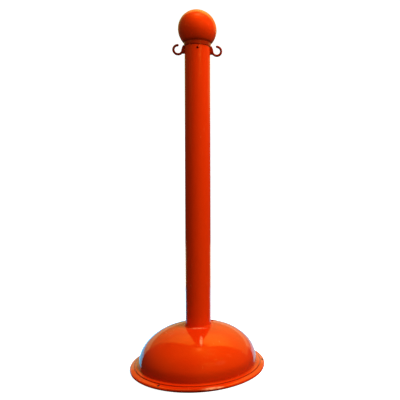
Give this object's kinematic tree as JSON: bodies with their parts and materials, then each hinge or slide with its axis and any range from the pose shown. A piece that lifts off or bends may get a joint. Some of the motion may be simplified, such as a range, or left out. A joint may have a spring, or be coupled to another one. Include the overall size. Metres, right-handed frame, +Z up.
{
  "type": "chain stanchion",
  "caption": "Ball-top plastic barrier post on a ballasted dome base, with clip-in C-hooks for a chain and a lift-off ball cap.",
  "frame": {"origin": "on the post's axis at floor level, the centre of the floor ring's underside", "axes": "+Z up the post; the two C-hooks lie on +X and -X; -Y is the side with the unused front hook hole"},
  "size_m": [0.403, 0.403, 1.07],
  "materials": {
    "orange_base": "gloss",
    "orange_pan": "satin",
    "orange_post": "gloss",
    "orange_ball": "gloss",
    "orange_hook": "gloss",
    "plug_plastic": "satin",
    "black_rubber": "matte",
    "sand": "matte",
    "screw_steel": "satin",
    "zinc_steel": "satin"
  },
  "bodies": {
    "stand": {"base_dome": "orange_base", "base_pan": "orange_pan", "sand_ballast": "sand", "floor_ring": "black_rubber", "flange_screws": "screw_steel", "post_tube": "orange_post", "foot_plug": "plug_plastic", "foot_nut": "zinc_steel", "foot_bolt": "zinc_steel", "flat_washer": "zinc_steel", "spring_washer": "zinc_steel"},
    "ball_cap": {"ball_cap": "orange_ball"},
    "hook_right": {"hook_right": "orange_hook"},
    "hook_left": {"hook_left": "orange_hook"},
    "fill_plug": {"fill_plug": "plug_plastic", "fill_seal": "black_rubber"}
  },
  "joints": [
    {"name": "cap_lift", "type": "slide", "parent": "stand", "child": "ball_cap", "axis": [0, 0, 1], "range_m": [0, 0.06]},
    {"name": "hook_right_pull", "type": "slide", "parent": "stand", "child": "hook_right", "axis": [1, 0, 0], "range_m": [0, 0.02]},
    {"name": "hook_left_pull", "type": "slide", "parent": "stand", "child": "hook_left", "axis": [-1, 0, 0], "range_m": [0, 0.02]},
    {"name": "fill_plug_pull", "type": "slide", "parent": "stand", "child": "fill_plug", "axis": [0, 0, -1], "range_m": [0, 0.02]}
  ]
}
